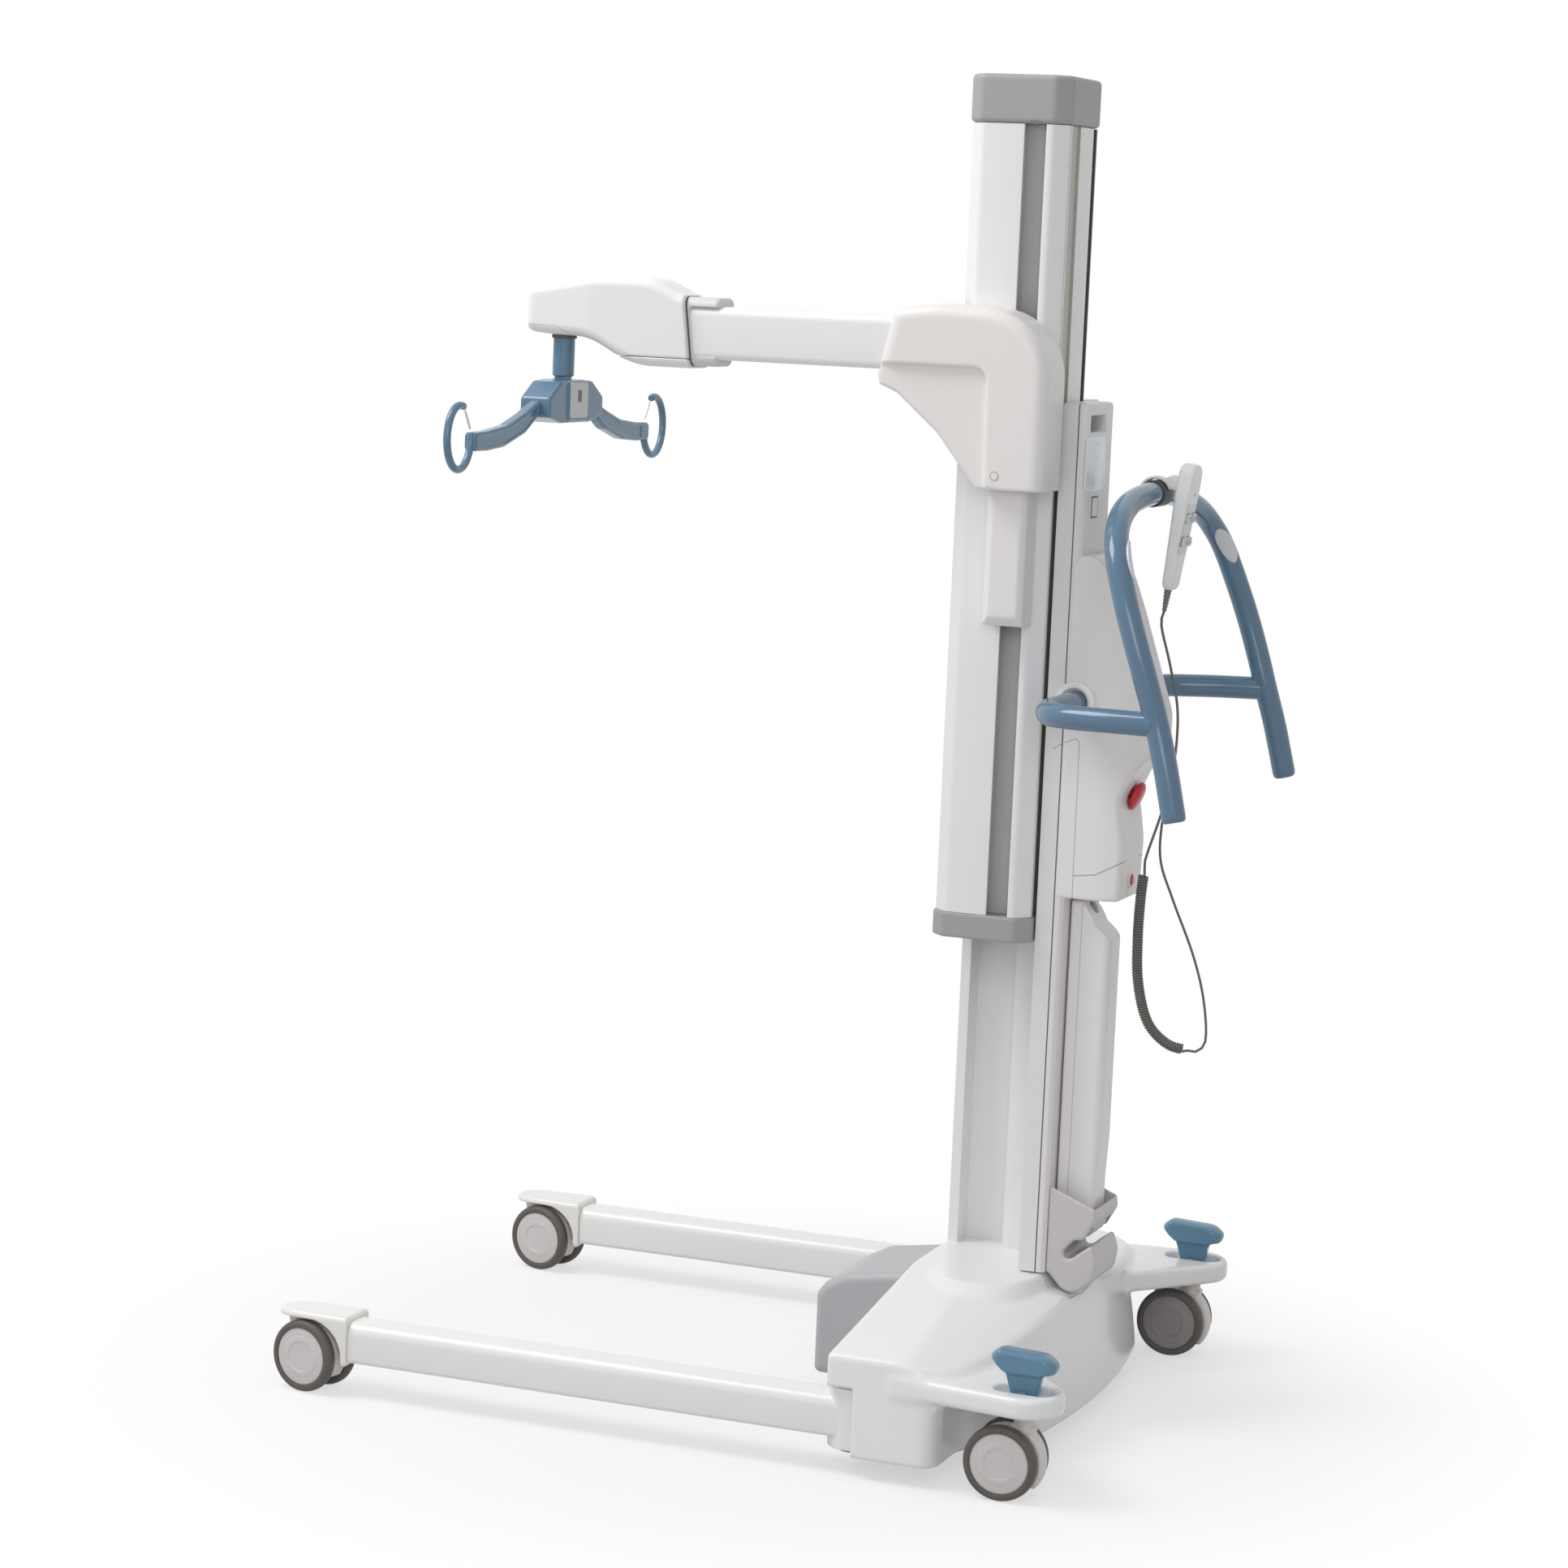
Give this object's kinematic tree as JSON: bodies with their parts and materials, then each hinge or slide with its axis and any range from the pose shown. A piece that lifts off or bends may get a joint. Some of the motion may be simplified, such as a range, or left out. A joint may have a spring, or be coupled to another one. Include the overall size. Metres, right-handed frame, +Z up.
{
  "type": "patient floor lift",
  "caption": "Wheeled patient lift with splaying legs, a telescoping side-by-side mast, a boom with a swivelling spreader bar, and a push handle with a corded handset.",
  "frame": {"origin": "floor level, below the middle of the whole lift; the base's middle plane is at X = -0.02235", "axes": "+Z up; the legs and the boom point to -Y and the handle to +Y; +X is the side of the base that the boom is on"},
  "size_m": [0.9477, 1.2222, 1.83],
  "materials": {
    "base_cover": "moulded, satin gloss",
    "base_frame": "grey coated steel",
    "leg_left": "white powder coat",
    "leg_right": "white powder coat",
    "leg_end_left": "moulded, satin gloss",
    "leg_end_right": "moulded, satin gloss",
    "front_caster_left_hood": "moulded nylon",
    "front_caster_right_hood": "moulded nylon",
    "rear_caster_left_hood": "moulded nylon",
    "rear_caster_right_hood": "moulded nylon",
    "front_caster_left_wheels": "dark tyre on a grey hub",
    "front_caster_right_wheels": "dark tyre on a grey hub",
    "rear_caster_left_wheels": "dark tyre on a grey hub",
    "rear_caster_right_wheels": "dark tyre on a grey hub",
    "pedal_left": "blue moulded plastic",
    "pedal_right": "blue moulded plastic",
    "actuator_cover": "moulded, fine grain",
    "leg_actuator": "plain",
    "lift_actuator": "plain",
    "fixed_mast": "powder coated extrusion",
    "moving_mast": "powder coated extrusion",
    "mast_top_cap": "grey moulded cap",
    "mast_bottom_cap": "grey moulded cap",
    "mast_key": "black sliding plastic",
    "carriage_slider": "black sliding plastic",
    "elbow_cover": "moulded, satin gloss",
    "carriage_box": "moulded, satin gloss",
    "jib_head": "moulded, satin gloss",
    "jib_head_lower": "moulded, satin gloss",
    "boom_tube": "white powder coat",
    "boom_sleeve": "light grey",
    "hanger_post": "blue powder coat",
    "spreader_arm_left": "blue powder coat",
    "spreader_arm_right": "blue powder coat",
    "spreader_block": "blue moulded plastic",
    "spreader_pin": "pin with two clip plates",
    "gate_left": "spring wire",
    "gate_right": "spring wire",
    "control_column": "warm light grey, fine grain",
    "rear_cover": "warm light grey, fine grain",
    "stop_button": "red",
    "lowering_release": "red",
    "cord_gland": "dark grey",
    "handle_arch": "blue powder coat",
    "handle_stay_left": "blue powder coat",
    "handle_stay_right": "blue powder coat",
    "handle_boss_left": "light grey",
    "handle_boss_right": "light grey",
    "handset_rest": "dark sleeve",
    "battery": "white",
    "battery_latch": "grey",
    "battery_holder": "moulded, fine grain",
    "handset": "white",
    "key_raise": "light grey key",
    "key_lower": "light grey key",
    "key_open": "light grey key",
    "key_close": "light grey key",
    "cord_upper": "dark grey jacket",
    "cord_coil": "dark grey jacket",
    "cord_lower": "dark grey jacket"
  },
  "bodies": {
    "base": {"base_cover": "base_cover", "base_frame": "base_frame", "actuator_cover": "actuator_cover", "leg_actuator": "leg_actuator", "fixed_mast": "fixed_mast", "lift_actuator": "lift_actuator", "control_column": "control_column", "rear_cover": "rear_cover", "cord_gland": "cord_gland", "handle_arch": "handle_arch", "handle_stay_left": "handle_stay_left", "handle_stay_right": "handle_stay_right", "handle_boss_left": "handle_boss_left", "handle_boss_right": "handle_boss_right", "handset_rest": "handset_rest", "battery_holder": "battery_holder", "cord_upper": "cord_upper", "cord_coil": "cord_coil", "cord_lower": "cord_lower"},
    "leg_left": {"leg_left": "leg_left", "leg_end_left": "leg_end_left"},
    "leg_right": {"leg_right": "leg_right", "leg_end_right": "leg_end_right"},
    "front_hood_left": {"front_caster_left_hood": "front_caster_left_hood"},
    "front_hood_right": {"front_caster_right_hood": "front_caster_right_hood"},
    "rear_hood_left": {"rear_caster_left_hood": "rear_caster_left_hood"},
    "rear_hood_right": {"rear_caster_right_hood": "rear_caster_right_hood"},
    "front_wheels_left": {"front_caster_left_wheels": "front_caster_left_wheels"},
    "front_wheels_right": {"front_caster_right_wheels": "front_caster_right_wheels"},
    "rear_wheels_left": {"rear_caster_left_wheels": "rear_caster_left_wheels"},
    "rear_wheels_right": {"rear_caster_right_wheels": "rear_caster_right_wheels"},
    "pedal_left": {"pedal_left": "pedal_left"},
    "pedal_right": {"pedal_right": "pedal_right"},
    "mast": {"moving_mast": "moving_mast", "mast_top_cap": "mast_top_cap", "mast_bottom_cap": "mast_bottom_cap", "mast_key": "mast_key"},
    "carriage": {"carriage_slider": "carriage_slider", "elbow_cover": "elbow_cover", "carriage_box": "carriage_box", "boom_tube": "boom_tube", "boom_sleeve": "boom_sleeve", "jib_head": "jib_head", "jib_head_lower": "jib_head_lower"},
    "hanger": {"hanger_post": "hanger_post"},
    "spreader": {"spreader_block": "spreader_block", "spreader_pin": "spreader_pin", "spreader_arm_left": "spreader_arm_left", "spreader_arm_right": "spreader_arm_right"},
    "gate_left": {"gate_left": "gate_left"},
    "gate_right": {"gate_right": "gate_right"},
    "stop_button": {"stop_button": "stop_button"},
    "lowering_release": {"lowering_release": "lowering_release"},
    "battery": {"battery": "battery"},
    "battery_latch": {"battery_latch": "battery_latch"},
    "handset": {"handset": "handset"},
    "key_raise": {"key_raise": "key_raise"},
    "key_lower": {"key_lower": "key_lower"},
    "key_open": {"key_open": "key_open"},
    "key_close": {"key_close": "key_close"}
  },
  "joints": [
    {"name": "leg_left_splay", "type": "hinge", "parent": "base", "child": "leg_left", "pos_m": [0.36565, 0.235, 0.075], "axis": [0, 0, 1], "range_deg": [0, 12]},
    {"name": "leg_right_splay", "type": "hinge", "parent": "base", "child": "leg_right", "pos_m": [-0.41035, 0.235, 0.075], "axis": [0, 0, 1], "range_deg": [-12, 0]},
    {"name": "front_swivel_left", "type": "hinge", "parent": "leg_left", "child": "front_hood_left", "pos_m": [0.36765, -0.578, 0.1015], "axis": [0, 0, 1], "continuous": true},
    {"name": "front_roll_left", "type": "hinge", "parent": "front_hood_left", "child": "front_wheels_left", "pos_m": [0.37214, -0.55595, 0.05], "axis": [0.9799, -0.1994, 0], "continuous": true},
    {"name": "rear_swivel_left", "type": "hinge", "parent": "base", "child": "rear_hood_left", "pos_m": [0.37765, 0.4725, 0.1193], "axis": [0, 0, 1], "continuous": true},
    {"name": "rear_roll_left", "type": "hinge", "parent": "rear_hood_left", "child": "rear_wheels_left", "pos_m": [0.37765, 0.45, 0.05], "axis": [1, 0, 0], "continuous": true},
    {"name": "front_swivel_right", "type": "hinge", "parent": "leg_right", "child": "front_hood_right", "pos_m": [-0.41235, -0.578, 0.1015], "axis": [0, 0, 1], "continuous": true},
    {"name": "front_roll_right", "type": "hinge", "parent": "front_hood_right", "child": "front_wheels_right", "pos_m": [-0.40786, -0.55595, 0.05], "axis": [0.9799, -0.1994, 0], "continuous": true},
    {"name": "rear_swivel_right", "type": "hinge", "parent": "base", "child": "rear_hood_right", "pos_m": [-0.42235, 0.4725, 0.1193], "axis": [0, 0, 1], "continuous": true},
    {"name": "rear_roll_right", "type": "hinge", "parent": "rear_hood_right", "child": "rear_wheels_right", "pos_m": [-0.42235, 0.45, 0.05], "axis": [1, 0, 0], "continuous": true},
    {"name": "pedal_left_tilt", "type": "hinge", "parent": "base", "child": "pedal_left", "pos_m": [0.38165, 0.4725, 0.1395], "axis": [1, 0, 0], "range_deg": [-6, 6]},
    {"name": "pedal_right_tilt", "type": "hinge", "parent": "base", "child": "pedal_right", "pos_m": [-0.42635, 0.4725, 0.1395], "axis": [1, 0, 0], "range_deg": [-6, 6]},
    {"name": "mast_lift", "type": "slide", "parent": "base", "child": "mast", "axis": [0, 0, 1], "range_m": [-0.39, 0.235]},
    {"name": "carriage_lift", "type": "slide", "parent": "mast", "child": "carriage", "axis": [0, 0, 1], "range_m": [-0.39, 0.235]},
    {"name": "hanger_swivel", "type": "hinge", "parent": "carriage", "child": "hanger", "pos_m": [0.10765, -0.352, 1.4545], "axis": [0, 0, 1], "continuous": true},
    {"name": "spreader_tilt", "type": "hinge", "parent": "hanger", "child": "spreader", "pos_m": [0.10765, -0.352, 1.372], "axis": [0, 1, 0], "range_deg": [-8, 8]},
    {"name": "gate_left_swing", "type": "hinge", "parent": "spreader", "child": "gate_left", "pos_m": [0.3974, -0.352, 1.33042], "axis": [0, 1, 0], "range_deg": [0, 35], "stiffness_Nm_per_rad": 0.01, "springref_deg": -20.05},
    {"name": "gate_right_swing", "type": "hinge", "parent": "spreader", "child": "gate_right", "pos_m": [-0.1821, -0.352, 1.33042], "axis": [0, -1, 0], "range_deg": [0, 35], "stiffness_Nm_per_rad": 0.01, "springref_deg": -20.05},
    {"name": "stop_press", "type": "slide", "parent": "base", "child": "stop_button", "axis": [0, -0.9292, 0.3697], "range_m": [0, 0.003], "stiffness_N_per_m": 1500, "springref_m": -0.002},
    {"name": "release_press", "type": "slide", "parent": "base", "child": "lowering_release", "axis": [0, -1, 0], "range_m": [0, 0.002], "stiffness_N_per_m": 900, "springref_m": -0.002},
    {"name": "battery_tilt", "type": "hinge", "parent": "base", "child": "battery", "pos_m": [-0.02235, 0.439, 0.292], "axis": [-1, 0, 0], "range_deg": [0, 4]},
    {"name": "latch_turn", "type": "hinge", "parent": "battery", "child": "battery_latch", "pos_m": [-0.02235, 0.4125, 0.7155], "axis": [0, 0.8211, 0.5708], "range_deg": [0, 90]},
    {"name": "handset_lift", "type": "slide", "parent": "base", "child": "handset", "axis": [0, 0, 1], "range_m": [0, 0.05]},
    {"name": "key_raise_press", "type": "slide", "parent": "handset", "child": "key_raise", "axis": [0, -0.9917, 0.1288], "range_m": [0, 0.0012], "stiffness_N_per_m": 500, "springref_m": -0.001},
    {"name": "key_lower_press", "type": "slide", "parent": "handset", "child": "key_lower", "axis": [0, -0.9917, 0.1288], "range_m": [0, 0.0012], "stiffness_N_per_m": 500, "springref_m": -0.001},
    {"name": "key_open_press", "type": "slide", "parent": "handset", "child": "key_open", "axis": [0, -0.9917, 0.1288], "range_m": [0, 0.0012], "stiffness_N_per_m": 500, "springref_m": -0.001},
    {"name": "key_close_press", "type": "slide", "parent": "handset", "child": "key_close", "axis": [0, -0.9917, 0.1288], "range_m": [0, 0.0012], "stiffness_N_per_m": 500, "springref_m": -0.001}
  ],
  "couplings": [
    {"joint": "leg_right_splay", "follows": "leg_left_splay", "ratio": -1},
    {"joint": "carriage_lift", "follows": "mast_lift", "ratio": 1}
  ]
}
